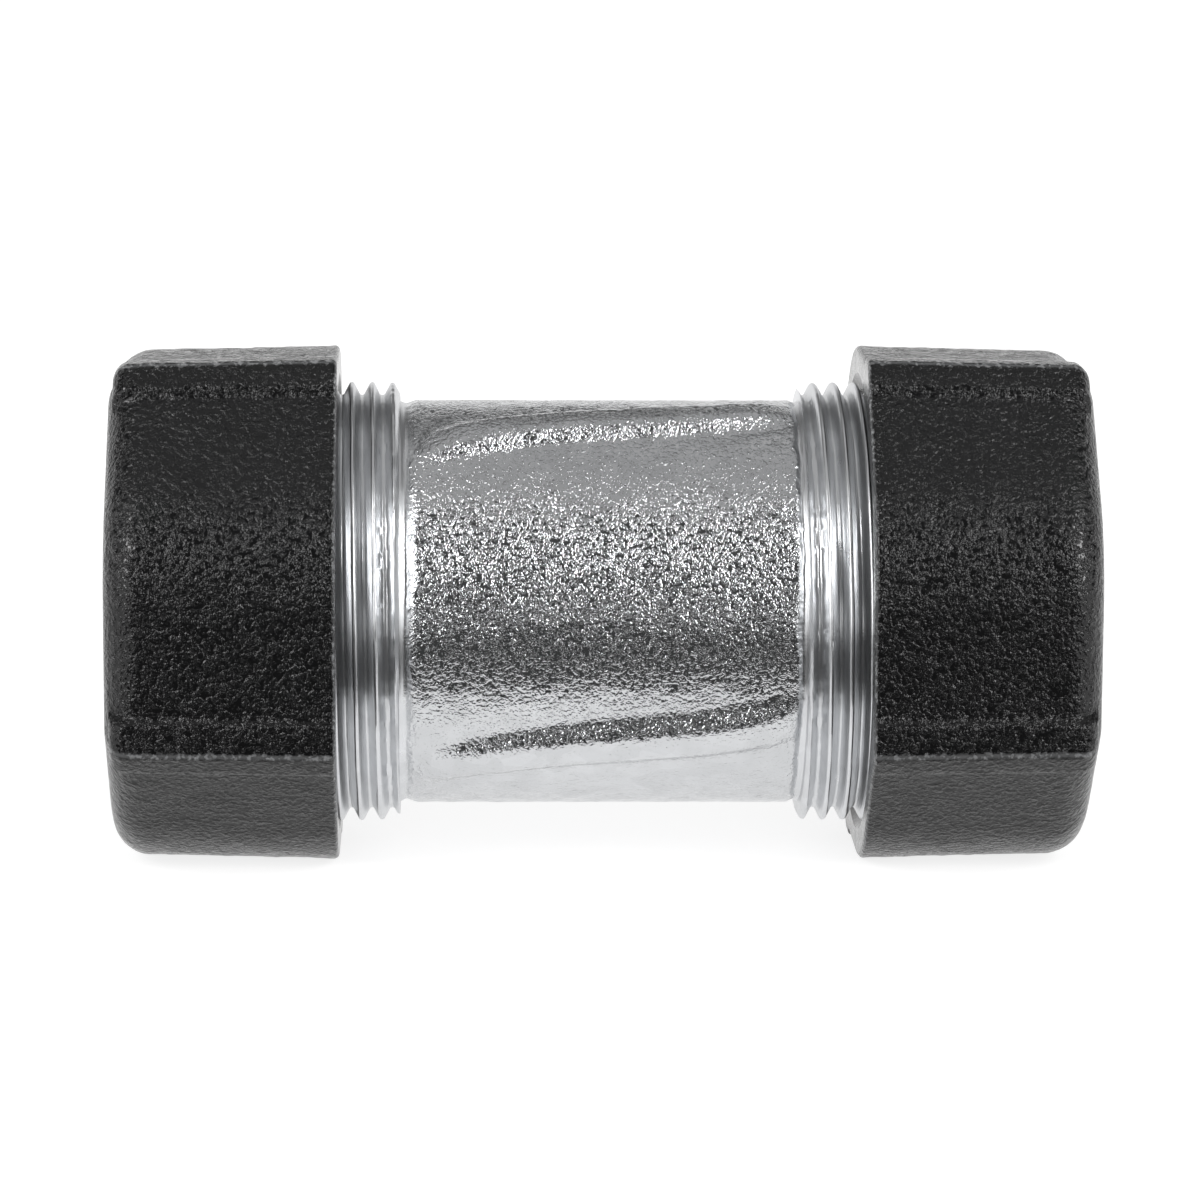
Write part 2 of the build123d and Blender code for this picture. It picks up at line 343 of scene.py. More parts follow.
class Shell:
    """Collects grids of points as one closed surface, whose touching borders are merged."""

    def __init__(self):
        self.points, self.faces, self.count = [], [], 0
        self.masks = {"cast": [], "wear_and_highlight": []}

    def grid(self, points, cast, seam_rows=0, wear_and_highlight=0.0):
        """Adds a grid of rows by columns. The last column joins the first one, which starts
        seam_rows rows later, as the turns of a thread do. Cast is 1 where the skin is rough, and
        wear_and_highlight is 1 where an edge's paint is worn thin and painted lighter as a
        highlight."""
        rows, columns = points.shape[:2]
        index = np.arange(rows * columns).reshape(rows, columns)
        following = np.concatenate((index[:, 1:], np.roll(index, -seam_rows, 0)[:, :1]), axis=1)
        last = rows - seam_rows
        quads = np.stack(
            (index[:last - 1], following[:last - 1], following[1:last], index[1:last]), axis=-1)
        self.points.append(points.reshape(-1, 3))
        self.faces.append(quads.reshape(-1, 4) + self.count)
        for name, mask in (("cast", cast), ("wear_and_highlight", wear_and_highlight)):
            self.masks[name].append(np.broadcast_to(mask, (rows, columns)).reshape(-1))
        self.count += rows * columns

    def build(self, name, sharp_angle):
        """Makes the object, merging the points that touch and turning the faces outwards."""
        mesh = bpy.data.meshes.new(name)
        faces = np.concatenate(self.faces)
        mesh.vertices.add(self.count)
        mesh.vertices.foreach_set("co", (np.concatenate(self.points) * MM).ravel())
        mesh.loops.add(faces.size)
        mesh.loops.foreach_set("vertex_index", faces.ravel())
        mesh.polygons.add(len(faces))
        mesh.polygons.foreach_set("loop_start", np.arange(len(faces)) * 4)
        mesh.update(calc_edges=True)
        for mask_name, masks in self.masks.items():
            layer = mesh.attributes.new(mask_name, "FLOAT", "POINT")
            layer.data.foreach_set("value", np.concatenate(masks).astype(np.float32))
        work = bmesh.new()
        work.from_mesh(mesh)
        bmesh.ops.remove_doubles(work, verts=work.verts, dist=MERGE_DISTANCE)
        bmesh.ops.dissolve_degenerate(work, edges=work.edges, dist=DEGENERATE_LENGTH)
        bmesh.ops.recalc_face_normals(work, faces=work.faces)
        work.to_mesh(mesh)
        work.free()
        mesh.shade_smooth()
        mesh.set_sharp_from_angle(angle=radians(sharp_angle))
        piece = bpy.data.objects.new(name, mesh)
        bpy.context.scene.collection.objects.link(piece)
        return piece


def thread_profile(phase, sizes):
    """Radius of the thread at a phase, which is 0 on a crest and 0.5 in a root: straight flanks
    at FLANK_ANGLE, with an arc over each crest and the same arc upside down in each root."""
    pitch, depth, rounding = sizes.pitch / MM, sizes.thread_depth / MM, sizes.thread_round / MM
    away = np.abs((phase + 0.5) % 1 - 0.5) * pitch
    flank = radians(FLANK_ANGLE)
    reach = rounding * cos(flank)
    to_root = pitch / 2 - away
    crest_arc = rounding - np.sqrt(np.maximum(rounding ** 2 - away ** 2, 0))
    root_arc = depth - rounding + np.sqrt(np.maximum(rounding ** 2 - to_root ** 2, 0))
    drop = rounding * (1 - sin(flank)) + (away - reach) / tan(flank)
    drop = np.where(away < reach, crest_arc, drop)
    drop = np.where(to_root < reach, root_arc, drop)
    return THREAD_RADIUS - np.clip(drop, 0, depth)


def thread_grid(angles, low, high, crest, sizes):
    """Rows that follow the thread's turns from low to high along the axis: row k lies at
    crest + pitch*(phase of k + turn), cut off at both ends. Returns x, phase and rows a turn."""
    pitch = sizes.pitch / MM
    first = crest + pitch * (np.floor((low - crest) / pitch) - 1)
    turns = int(np.ceil((high - first) / pitch)) + 2
    starts = first + pitch * (np.arange(turns)[:, None] + np.array(THREAD_PHASES)).ravel()
    x = np.clip(starts[:, None] + pitch * angles / (2 * pi), low, high)
    phase = (x - crest) / pitch - angles / (2 * pi)
    return x, phase, len(THREAD_PHASES)


def rib_relief(x, angles):
    """Height of the slanting ribs over the barrel, RIB_HEIGHT*(1 - u**6)*s*s*(3 - 2*s) at u
    along a rib, where the share s rises from 0 at the rib's side to 1 over the width of its
    flank. A rib's line rises by a*t + b*t**3, at a distance t from where it is flattest."""
    along = (x - RIB_MIDDLE) / RIB_HALF_LENGTH
    from_level = x - RIB_LEVEL_X
    line = RIB_RISE * from_level + RIB_TWIST * from_level ** 3 + RIB_RISE * RIB_LEVEL_X
    total = np.zeros(np.broadcast(x, angles).shape)
    for rib_angle in np.radians(RIB_ANGLES):
        around = (2 * pi - angles - rib_angle) % (2 * pi) - pi
        across = (BARREL_RADIUS * around - line) / RIB_HALF_WIDTH
        profile = smooth_step(1 - np.abs(across), 0.0, RIB_FLANK)
        total += RIB_HEIGHT * np.clip(1 - along ** 6, 0, 1) * profile
    return total


def barrel_grid(angles, sizes):
    """The barrel between the threads: its radius with the ribs and lumps, falling by a smooth
    slope to each neck at edges that waver as a casting's do. Returns the grid, and 1 where it
    is barrel and 0 where it is neck."""
    middle_x = THREAD_X - BARREL_MIDDLE_INSET
    middle = np.linspace(-middle_x, middle_x, BARREL_MIDDLE_ROWS)
    x = np.concatenate((BARREL_END_ROWS - THREAD_X, middle, (THREAD_X - BARREL_END_ROWS)[::-1]))
    x = x[:, None]
    points = polar(x, BARREL_RADIUS, angles)
    waver = sum(share * lattice_noise(points, cell, seed) for cell, share, seed in EDGE_WAVER)
    neck = np.where(x < 0, sizes.left_neck, sizes.right_neck) / MM
    inwards = THREAD_X - np.abs(x) - neck + waver
    slope_start = np.where(x < 0, LEFT_SLOPE_START, RIGHT_SLOPE_START)
    barrel = smooth_step(inwards, slope_start, SLOPE_END)
    lumps = cast_lumps(points, BARREL_SEED) * sizes.cast_depth / MM
    foot = 1 - smooth_step(THREAD_X - np.abs(x), 0.0, THREAD_FOOT_WIDTH)
    neck_radius = NECK_RADIUS + THREAD_FOOT_HEIGHT * foot
    skin = BARREL_RADIUS + rib_relief(x, angles) + lumps
    return polar(x, neck_radius + (skin - neck_radius) * barrel, angles), barrel


def body_thread(angles, side, sizes):
    """One end's thread: the rounded V, cut back to a blunt, torn first turn at the neck and to a
    chamfer at the mouth, with faint tool marks. Returns the grid and its rows a turn."""
    x, phase, seam = thread_grid(angles, THREAD_X, MOUTH_X, CREST_START[side], sizes)
    points = polar(x, THREAD_RADIUS, angles)
    fading = 1 - smooth_step(x, THREAD_X + TORN_START, THREAD_X + TORN_END)
    torn = lattice_noise(points, TORN_CELL, TORN_SEED) * fading
    radius = thread_profile(phase, sizes)
    radius = np.minimum(radius, BLUNT_RADIUS + (x - THREAD_X) * BLUNT_SLOPE)
    radius = np.minimum(radius, THREAD_RADIUS - (x - MOUTH_X + MOUTH_CHAMFER))
    first_turn = (radius > TORN_RADIUS) * (x < THREAD_X + TORN_END)
    radius = radius - TORN_DEPTH * (torn + TORN_LEVEL) * first_turn
    radius = radius - TOOL_MARK_DEPTH * (1 + lattice_noise(points, TOOL_MARK_CELL, TOOL_MARK_SEED))
    return polar(x, radius, angles), seam


def build_body(sizes):
    """The galvanised casting: barrel with slanting ribs, smooth necks, two outside threads,
    and inside them the seals' cones, the guide lands and the wider core."""
    angles = np.arange(BODY_COLUMNS) * 2 * pi / BODY_COLUMNS
    shell = Shell()
    barrel, rough = barrel_grid(angles, sizes)
    shell.grid(barrel, rough)
    turned_columns = (-np.arange(BODY_COLUMNS)) % BODY_COLUMNS
    neck_rings = {"left": barrel[0][turned_columns], "right": barrel[-1]}
    inside = spread(
        ((MOUTH_X, MOUTH_RADIUS), (SEAT_X, SEAT_RADIUS), (SEAT_X, GUIDE_RADIUS),
         (GUIDE_X, GUIDE_RADIUS), (CORE_X, CORE_RADIUS), (0, CORE_RADIUS)), BODY_BORE_STEP)
    bore = polar(inside[:, :1], inside[:, 1:], angles)
    bore_skin = np.where(inside[:, :1] <= CORE_X, ROUGH, BORE_SKIN)
    mouth = polar(MOUTH_X, MOUTH_RADIUS, angles)
    for side in SIDES:
        threads, seam = body_thread(angles, side, sizes)
        neck = on_side(side, neck_rings[side])
        shell.grid(on_side(side, threads), CUT, seam)
        shell.grid(on_side(side, between(neck, threads[0], NECK_SHARES)), CUT)
        shell.grid(on_side(side, between(threads[-1], mouth, STRIP_SHARES)), CUT)
        shell.grid(on_side(side, bore), bore_skin)
    return shell.build("cast_body", BODY_SHARP_ANGLE)


def nut_columns():
    """Columns round a quarter of the octagon, repeated four times: along a flat from a sharp
    corner, round the soft corner and along the next flat. Returns each column's quarter, its
    zone (0 and 2 on the flats, 1 on the soft corner), its place there as a share of the flat or
    an angle, and the flat's length."""
    flat = 2 * NUT_APOTHEM * tan(HALF_SIDE) - NUT_CORNER_ROUND * tan(HALF_SIDE)
    far = np.linspace(FLAT_FAR_START, flat, FLAT_FAR_COLUMNS)
    shares = np.concatenate((FLAT_NEAR_COLUMNS, far)) / flat
    arc = np.linspace(HALF_SIDE_ANGLE, 90 - HALF_SIDE_ANGLE, CORNER_COLUMNS)[1:-1]
    zone = np.concatenate((np.zeros(len(shares)), np.ones(len(arc)), np.full(len(shares) - 1, 2)))
    place = np.concatenate((shares, np.radians(arc), shares[:0:-1]))
    quarter = np.repeat(np.arange(4), len(place))
    return quarter, np.tile(zone, 4), np.tile(place, 4), flat


def octagon_points(quarter, zone, place, inset, turn):
    """Section of the nut with its outline moved inwards by inset. A flat is its corner plus a
    share of its shortened length, and a soft corner is an arc about a fixed centre."""
    apothem = NUT_APOTHEM - inset
    rounding = NUT_CORNER_ROUND - inset
    length = 2 * apothem * tan(HALF_SIDE) - rounding * tan(HALF_SIDE)
    share = np.where(zone == 1, 0, place) * length
    flat_u = apothem / cos(HALF_SIDE) - sin(HALF_SIDE) * share
    flat_v = cos(HALF_SIDE) * share
    centre = (NUT_APOTHEM - NUT_CORNER_ROUND) / cos(HALF_SIDE) * cos(pi / 4)
    arc_u, arc_v = centre + rounding * np.cos(place), centre + rounding * np.sin(place)
    u = np.where(zone == 0, flat_u, np.where(zone == 1, arc_u, flat_v))
    v = np.where(zone == 0, flat_v, np.where(zone == 1, arc_v, flat_u))
    angle = quarter * pi / 2 + turn
    return u * np.cos(angle) - v * np.sin(angle), u * np.sin(angle) + v * np.cos(angle)


def nut_rows():
    """Rows along the nut's outside: x, the inset of the octagon and that of its corner ribs.
    The octagon is drafted, rounded by a small arc at its inner edge and a large one at the rim.
    The ribs end in an arc of their own, and drop to the rim just before its end."""
    turn = np.radians(np.linspace(0, 90, EDGE_ROWS))
    start = NUT_X + NUT_EDGE_ROUND * (1 - np.cos(turn))
    rim_x = NUT_END_X - NUT_END_ROUND
    side = np.linspace(start[-1], rim_x, SIDE_ROWS)
    rim = rim_x + NUT_END_ROUND * np.sin(np.radians(np.linspace(0, 90, RIM_ROWS)))
    x = np.unique(np.concatenate((start, side, rim, PAD_END_X - PAD_END_ROWS)))
    drafted = (x - NUT_X) * tan(radians(NUT_DRAFT))
    drafted = drafted + arc_drop(NUT_X + NUT_EDGE_ROUND - x, NUT_EDGE_ROUND)
    base = drafted + arc_drop(x - rim_x, NUT_END_ROUND)
    pad = drafted - PAD_HEIGHT + arc_drop(x - (PAD_END_X - PAD_END_ROUND), PAD_END_ROUND)
    pad = np.where(x > PAD_END_X + PAD_END_MARGIN, base, np.minimum(pad, base))
    return x[:, None], base[:, None], pad[:, None]


def build_nut(side, sizes):
    """A cast clamp nut: drafted octagon with ribs over four corners, rounded rim, flat end with
    the pipe's opening, inside it the clamp ring's cone and the thread that runs on the body."""
    shell = Shell()
    seed, depth = NUT_SEED[side], sizes.cast_depth / MM
    quarter, zone, place, flat = nut_columns()
    x, base, pad = nut_rows()
    distance = np.where(zone == 1, flat, place * flat)
    on_pad = 1 - smooth_step(distance, *PAD_FOOT)
    rubbed = CORNER_RUB_DEPTH * (1 - smooth_step(distance, *CORNER_RUB))
    inset = base + on_pad * (pad - base) + rubbed
    y, z = octagon_points(quarter, zone, place, inset, radians(NUT_PAD_ANGLE * SIDES[side]))
    outer = np.stack((np.broadcast_to(x, y.shape), y, z), axis=-1)
    lumps = depth * (CALM_SHARE + (1 - CALM_SHARE) * smooth_step(x, *EDGE_CALM))
    sink = 1 + cast_lumps(outer, seed) * lumps / np.hypot(y, z)
    outer[..., 1:] *= sink[..., None]
    # The corners' and the inner end's paint: worn thin, and painted lighter as a highlight along
    # the edges
    wear_and_highlight = (1 - smooth_step(distance, *CORNER_WEAR_AND_HIGHLIGHT)) * (x < CORNER_WEAR_AND_HIGHLIGHT_END_X)
    wear_and_highlight = np.maximum(wear_and_highlight, 1 - smooth_step(x, *EDGE_WEAR_AND_HIGHLIGHT))
    shell.grid(on_side(side, outer), ROUGH, wear_and_highlight=wear_and_highlight)

    opening = NUT_OPENING_RADIUS + NUT_LIP_CHAMFER
    rim_angles = np.arctan2(outer[-1, :, 2], outer[-1, :, 1])
    shares = np.linspace(0, 1, FACE_ROWS)
    face = between(outer[-1], polar(NUT_END_X, opening, rim_angles), shares)
    fade = smooth_step(shares, *FACE_FADE_IN) * (1 - smooth_step(shares, *FACE_FADE_OUT))
    face[..., 0] += cast_lumps(face, seed + FACE_SEED_STEP) * depth * fade[:, None]
    shell.grid(on_side(side, face), ROUGH)

    profile = spread(
        ((NUT_END_X, opening), (NUT_END_X - NUT_LIP_CHAMFER, NUT_OPENING_RADIUS),
         (NUT_CONE[1][0], NUT_OPENING_RADIUS), NUT_CONE[1], NUT_CONE[0]), NUT_BORE_STEP)
    cone = polar(profile[:, :1], profile[:, 1:], rim_angles)
    shell.grid(on_side(side, cone), CONE_SKIN)

    order = np.argsort(rim_angles % (2 * pi))
    rising = (rim_angles % (2 * pi))[order]
    x, phase, seam = thread_grid(rising, NUT_X, NUT_CONE[0][0], CREST_START[side], sizes)
    radius = thread_profile(phase, sizes) + sizes.thread_gap / MM
    threads = polar(x, np.maximum(radius, NUT_MOUTH_RADIUS - (x - NUT_X)), rising)
    shell.grid(on_side(side, threads), NUT_THREAD_SKIN, seam)
    cone_foot = between(threads[-1], polar(*NUT_CONE[0], rising), STRIP_SHARES)
    shell.grid(on_side(side, cone_foot), CONE_FOOT_SKIN)
    mouth = between(outer[0][order], threads[0], np.linspace(0, 1, MOUTH_ROWS))
    shell.grid(on_side(side, mouth), MOUTH_SKIN)
    return shell.build(side + "_cast_nut", NUT_SHARP_ANGLE)


class Nodes:
    """Empties the node tree of a material, world or group, and adds nodes to it."""

    def __init__(self, tree):
        self.tree = tree
        tree.nodes.clear()

    def __call__(self, kind, inputs=None, **options):
        """A new node with its options set, and its inputs set to values or linked."""
        node = self.tree.nodes.new(kind)
        for name, value in options.items():
            setattr(node, name, value)
        self.put(node, inputs or {})
        return node

    def put(self, node, inputs):
        """Sets each named input to a value, or links it to another node's socket."""
        for name, value in inputs.items():
            if isinstance(value, bpy.types.NodeSocket):
                self.tree.links.new(value, node.inputs[name])
            else:
                node.inputs[name].default_value = value

    def texture(self, kind, place, scale, **inputs):
        """A texture node at a place, of a scale per metre."""
        return self("ShaderNodeTex" + kind, {"Vector": place, "Scale": scale, **inputs})

    def math(self, operation, first, second=0.0):
        return self("ShaderNodeMath", {0: first, 1: second}, operation=operation).outputs[0]

    def weighted(self, start, *terms):
        """Start plus value*weight of each term."""
        for value, weight in terms:
            start = self.math("ADD", start, self.math("MULTIPLY", value, weight))
        return start

    def mix(self, share, first, second):
        node = self("ShaderNodeMix", {0: share, 6: first, 7: second}, data_type="RGBA")
        return node.outputs[2]

    def ramp(self, value, low, high):
        """0 at low and 1 at high."""
        node = self("ShaderNodeMapRange", {0: value, 1: low, 2: high, 3: 0.0, 4: 1.0})
        return node.outputs[0]

    def mask(self, name):
        return self("ShaderNodeAttribute", attribute_name=name).outputs["Fac"]

    def place(self):
        return self("ShaderNodeTexCoord").outputs["Object"]


def cast_skin_group():
    """Shared by the galvanised casting and the painted nuts: the small bumps of a sand casting,
    with pits between them, and broad patches. Puts out a height, a mask of the bumps' tops and
    the patches."""
    tree = bpy.data.node_groups.new("Cast skin", "ShaderNodeTree")
    tree.interface.new_socket("Grain", in_out="INPUT", socket_type="NodeSocketFloat")
    tree.interface.new_socket("Shift", in_out="INPUT", socket_type="NodeSocketVector")
    for name in ("Height", "Tops", "Patches"):
        tree.interface.new_socket(name, in_out="OUTPUT", socket_type="NodeSocketFloat")
    add = Nodes(tree)
    inside = add("NodeGroupInput").outputs
    moved = add("ShaderNodeVectorMath", {0: add.place(), 1: inside["Shift"]}, operation="ADD")
    moved = moved.outputs[0]
    scale = add.math("DIVIDE", 1.0, inside["Grain"])
    bumps = add.texture("Noise", moved, scale, Detail=2.5, Roughness=0.55).outputs[0]
    pits = add.texture("Voronoi", moved, add.math("MULTIPLY", scale, PIT_SCALE))
    pits.feature = "SMOOTH_F1"
    broad = add.texture("Noise", moved, add.math("MULTIPLY", scale, BROAD_SCALE), Detail=2.0)
    height = add.weighted(add.ramp(bumps, *BUMP_RAMP), (pits.outputs["Distance"], -PIT_DEPTH))
    add("NodeGroupOutput", {
        "Height": height, "Tops": add.ramp(bumps, *TOPS_RAMP), "Patches": broad.outputs[0]})
    return tree


def new_material(name):
    """An empty material of that name, and its node maker."""
    material = bpy.data.materials.new(name)
    material.use_nodes = True
    return material, Nodes(material.node_tree)


def finish_surface(add, height, bump_distance, bump_strength=1.0, **inputs):
    """Puts out a Principled surface with these inputs and bumps, the distance being in mm."""
    bump = add("ShaderNodeBump", {
        "Height": height, "Strength": bump_strength, "Distance": bump_distance * MM})
    shader = add("ShaderNodeBsdfPrincipled", {**inputs, "Normal": bump.outputs[0]})
    add("ShaderNodeOutputMaterial", {"Surface": shader.outputs[0]})


def tinted(colour, factor=1.0):
    """A colour property times a factor, with full alpha."""
    return (*[factor * channel for channel in colour], 1)


def galvanised_material(skin, finishes):
    """Zinc over a sand casting: bright bumps and duller hollows, a faint spangle of crystals,
    and smoother cut threads and necks, as the mesh's cast attribute says."""
    material, add = new_material("Galvanised iron")
    cast = add.mask("cast")
    smooth = add.math("SUBTRACT", 1.0, cast)
    grain = add("ShaderNodeGroup", node_tree=skin)
    add.put(grain, {"Grain": ZINC_GRAIN * finishes.grain, "Shift": ZINC_SHIFT})
    patches = grain.outputs["Patches"]
    place = add.place()
    crystals = add.texture("Voronoi", place, SPANGLE_SCALE).outputs["Color"]
    fine = add.texture("Noise", place, FINE_SCALE, Detail=2.0).outputs[0]
    cuts = add.texture("Wave", place, CUT_SCALE, **CUT_WAVES)
    cuts.wave_type, cuts.bands_direction = "BANDS", "X"
    tone = add.weighted(
        0.0, (crystals, SPANGLE_DULLS), (patches, PATCHES_DULL), (cast, CAST_DULLS))
    colour = add.mix(tone, tinted(finishes.zinc), tinted(finishes.zinc, ZINC_DULL))
    rough = add.weighted(ZINC_ROUGHNESS, (patches, ZINC_PATCHES), (smooth, ZINC_CUT))
    height = add.weighted(0.0, (grain.outputs["Height"], cast), (fine, FINE_HEIGHT),
                          (cuts.outputs[1], add.math("MULTIPLY", smooth, CUT_HEIGHT)))
    finish_surface(add, height, ZINC_BUMP,
                   **{"Base Color": colour, "Metallic": 1.0, "Roughness": rough})
    return material


def paint_material(skin, finishes):
    """Glossy black paint over the same rough casting, a little greyer on the bumps' tops, and
    worn thin and lighter, partly as a painted highlight, where the mesh's wear_and_highlight
    attribute says."""
    material, add = new_material("Black paint")
    grain = add("ShaderNodeGroup", node_tree=skin)
    add.put(grain, {"Grain": finishes.grain, "Shift": (0.0, 0.0, 0.0)})
    tops = grain.outputs["Tops"]
    paint = add.mix(tops, tinted(finishes.paint), tinted(finishes.paint, PAINT_THIN))
    # Along worn edges the paint turns to a pale zinc grey: real wear and a painted highlight
    wear_and_highlight = add.math("MULTIPLY", add.mask("wear_and_highlight"), add.math("ADD", WEAR_AND_HIGHLIGHT_START, tops))
    colour = add.mix(add.ramp(wear_and_highlight, *WEAR_AND_HIGHLIGHT_RAMP), paint, tinted(finishes.zinc, PAINT_BARE_AND_HIGHLIGHT))
    rough = add.weighted(PAINT_ROUGHNESS, (grain.outputs["Patches"], PAINT_PATCHES))
    amount = add.weighted(PAINT_SMOOTH_SHARE, (add.mask("cast"), 1 - PAINT_SMOOTH_SHARE))
    height = add.math("MULTIPLY", grain.outputs["Height"], amount)
    finish_surface(add, height, PAINT_BUMP, **{
        "Base Color": colour, "Roughness": rough, "Specular IOR Level": PAINT_SPECULAR})
    return material


def steel_material(finishes):
    """Zinc plated steel with the fine rings that turning leaves, and faint stains."""
    material, add = new_material("Plated steel")
    place = add.place()
    rings = add.texture("Wave", place, RING_SCALE, Distortion=RING_DISTORTION)
    rings.wave_type, rings.rings_direction = "RINGS", "X"
    stains = add.texture("Noise", place, STAIN_SCALE, Detail=3.0).outputs[0]
    colour = add.mix(add.ramp(stains, *STAIN_RAMP), tinted(finishes.steel),
                     tinted(finishes.steel, STEEL_STAINED))
    rough = add.weighted(STEEL_ROUGHNESS, (stains, STEEL_STAINS))
    finish_surface(add, rings.outputs[1], STEEL_BUMP, STEEL_BUMP_STRENGTH,
                   **{"Base Color": colour, "Metallic": 1.0, "Roughness": rough})
    return material


def rubber_material(finishes):
    """Matt moulded rubber with a fine grain and a little chalk."""
    material, add = new_material("Seal rubber")
    place = add.place()
    grain = add.texture("Noise", place, RUBBER_GRAIN_SCALE, Detail=3.0).outputs[0]
    chalk = add.texture("Noise", place, CHALK_SCALE, Detail=3.0).outputs[0]
    colour = add.mix(add.ramp(chalk, *CHALK_RAMP), tinted(finishes.rubber),
                     tinted(finishes.rubber, RUBBER_PALE))
    finish_surface(add, grain, RUBBER_BUMP, RUBBER_BUMP_STRENGTH,
                   **{"Base Color": colour, "Roughness": RUBBER_ROUGHNESS})
    return material


def dress(piece, material):
    piece.data.materials.clear()
    piece.data.materials.append(material)


def skin_group():
    return bpy.data.node_groups.get("Cast skin") or cast_skin_group()


class COUPLING_OT_body(bpy.types.Operator):
    """Build the galvanised body with its ribs and threads"""
    bl_idname = "coupling.body"
    bl_label = "Cast body"

    def execute(self, context):
        piece = build_body(context.scene.coupling_sizes)
        dress(piece, galvanised_material(skin_group(), context.scene.coupling_finishes))
        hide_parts("coupling_body")
        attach(piece, "root")
        return {"FINISHED"}


class COUPLING_OT_nuts(bpy.types.Operator):
    """Build the two painted clamp nuts"""
    bl_idname = "coupling.nuts"
    bl_label = "Clamp nuts"

    def execute(self, context):
        material = paint_material(skin_group(), context.scene.coupling_finishes)
        for side in SIDES:
            piece = build_nut(side, context.scene.coupling_sizes)
            dress(piece, material)
            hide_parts(side + "_nut")
            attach(piece, side + "_nut")
        return {"FINISHED"}


class COUPLING_OT_seats(bpy.types.Operator):
    """Finish the seals, pressure washers and clamp rings inside the nuts"""
    bl_idname = "coupling.seats"
    bl_label = "Seals, washers and rings"

    def execute(self, context):
        finishes = context.scene.coupling_finishes
        steel, rubber = steel_material(finishes), rubber_material(finishes)
        for side in SIDES:
            for node, material in (("clamp_ring", steel), ("pressure_washer", steel),
                                   ("seal", rubber)):
                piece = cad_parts[side + "_" + node]
                for slot in piece.material_slots:
                    slot.material = material
        return {"FINISHED"}


def from_front(distance, azimuth, elevation):
    """The place at a distance from the middle, turned to the right of the front and raised."""
    reach = distance * cos(elevation)
    return Vector((reach * sin(azimuth), -reach * cos(azimuth), distance * sin(elevation)))


def aim(thing, target):
    """Turns a lamp or camera so that its -Z axis points at the target."""
    thing.rotation_euler = (Vector(target) - thing.location).to_track_quat("-Z", "Y").to_euler()


def add_lamp(name, place, size, brightness):
    """A rectangular area lamp that faces the coupling: its power is brightness*pi*area."""
    lamp = bpy.data.lights.new(name, "AREA")
    lamp.shape = "RECTANGLE"
    lamp.size, lamp.size_y = size
    lamp.energy = brightness * pi * size[0] * size[1]
    thing = bpy.data.objects.new(name, lamp)
    bpy.context.scene.collection.objects.link(thing)
    thing.location = place
    aim(thing, (0, 0, 0))


def add_camera(settings):
    """The camera that sees the coupling as the photograph does."""
    camera = bpy.data.objects.new("camera", bpy.data.cameras.new("camera"))
    bpy.context.scene.collection.objects.link(camera)
    camera.data.lens = settings.lens
    camera.data.sensor_width = SENSOR_WIDTH
    camera.data.clip_start, camera.data.clip_end = CLIP_RANGE
    way = from_front(settings.distance, settings.azimuth, settings.elevation)
    camera.location = Vector(CAMERA_TARGET) + way
    aim(camera, CAMERA_TARGET)
    camera.rotation_euler.rotate_axis("Z", settings.roll)
    return camera


def seen_rays(add):
    """1 for the rays of the camera and of reflections, 0 for those that carry light."""
    path = add("ShaderNodeLightPath").outputs
    total = add.math("ADD", path["Is Camera Ray"], path["Is Glossy Ray"])
    return add.math("MINIMUM", add.math("ADD", total, path["Is Transmission Ray"]), 1.0)


def floor_material():
    """Pale floor that keeps the object's shadow near it, and further off shows plain white."""
    material, add = new_material("Pale floor")
    away = add("ShaderNodeVectorMath", {0: add.place()}, operation="LENGTH").outputs["Value"]
    plain = add("ShaderNodeBsdfDiffuse", {"Color": (FLOOR_TONE, FLOOR_TONE, FLOOR_TONE, 1)})
    clear = add.ramp(away, FLOOR_GLOW_NEAR, FLOOR_GLOW_FAR)
    shown = add.weighted(FLOOR_GLOW, (clear, 1 - FLOOR_GLOW))
    shown = add.math("MULTIPLY", seen_rays(add), shown)
    glow = add("ShaderNodeEmission", {"Color": WHITE, "Strength": shown})
    both = add("ShaderNodeAddShader", {0: plain.outputs[0], 1: glow.outputs[0]})
    add("ShaderNodeOutputMaterial", {"Surface": both.outputs[0]})
    return material


def flag_material():
    """Black cloth of the flag that darkens reflections from in front."""
    material, add = new_material("Black flag")
    cloth = add("ShaderNodeEmission", {"Color": WHITE, "Strength": FLAG_GLOW})
    add("ShaderNodeOutputMaterial", {"Surface": cloth.outputs[0]})
    return material


def studio_world():
    """The studio round the coupling: dark on the camera's side, grey overhead, a white backdrop
    low down behind it with a dark strip over that."""
    world = bpy.data.worlds.new("Studio")
    world.use_nodes = True
    add = Nodes(world.node_tree)
    way = add("ShaderNodeSeparateXYZ", {0: add("ShaderNodeTexCoord").outputs["Generated"]})
    overhead = add.ramp(way.outputs[2], *OVERHEAD_RAMP)
    behind = add.ramp(way.outputs[1], *BEHIND_RAMP)
    low = add.ramp(way.outputs[2], *LOW_RAMP)
    backdrop = add.weighted(STRIP_LEVEL, (low, BACKDROP_LEVEL))
    level = add.weighted(WORLD_LEVEL, (overhead, OVERHEAD_LEVEL), (behind, backdrop))
    glow = add("ShaderNodeBackground", {"Color": WHITE, "Strength": level})
    add("ShaderNodeOutputWorld", {"Surface": glow.outputs[0]})
    return world


def add_stage_sheet(name, corners, height, material):
    """A flat sheet between two opposite corners, facing up, which belongs to the stage."""
    (x0, y0), (x1, y1) = corners
    mesh = bpy.data.meshes.new(name)
    ring = [(x, y, height) for x, y in ((x0, y0), (x1, y0), (x1, y1), (x0, y1))]
    mesh.from_pydata(ring, [], [(0, 1, 2, 3)])
    sheet = bpy.data.objects.new(name, mesh)
    bpy.context.scene.collection.objects.link(sheet)
    dress(sheet, material)
    return sheet


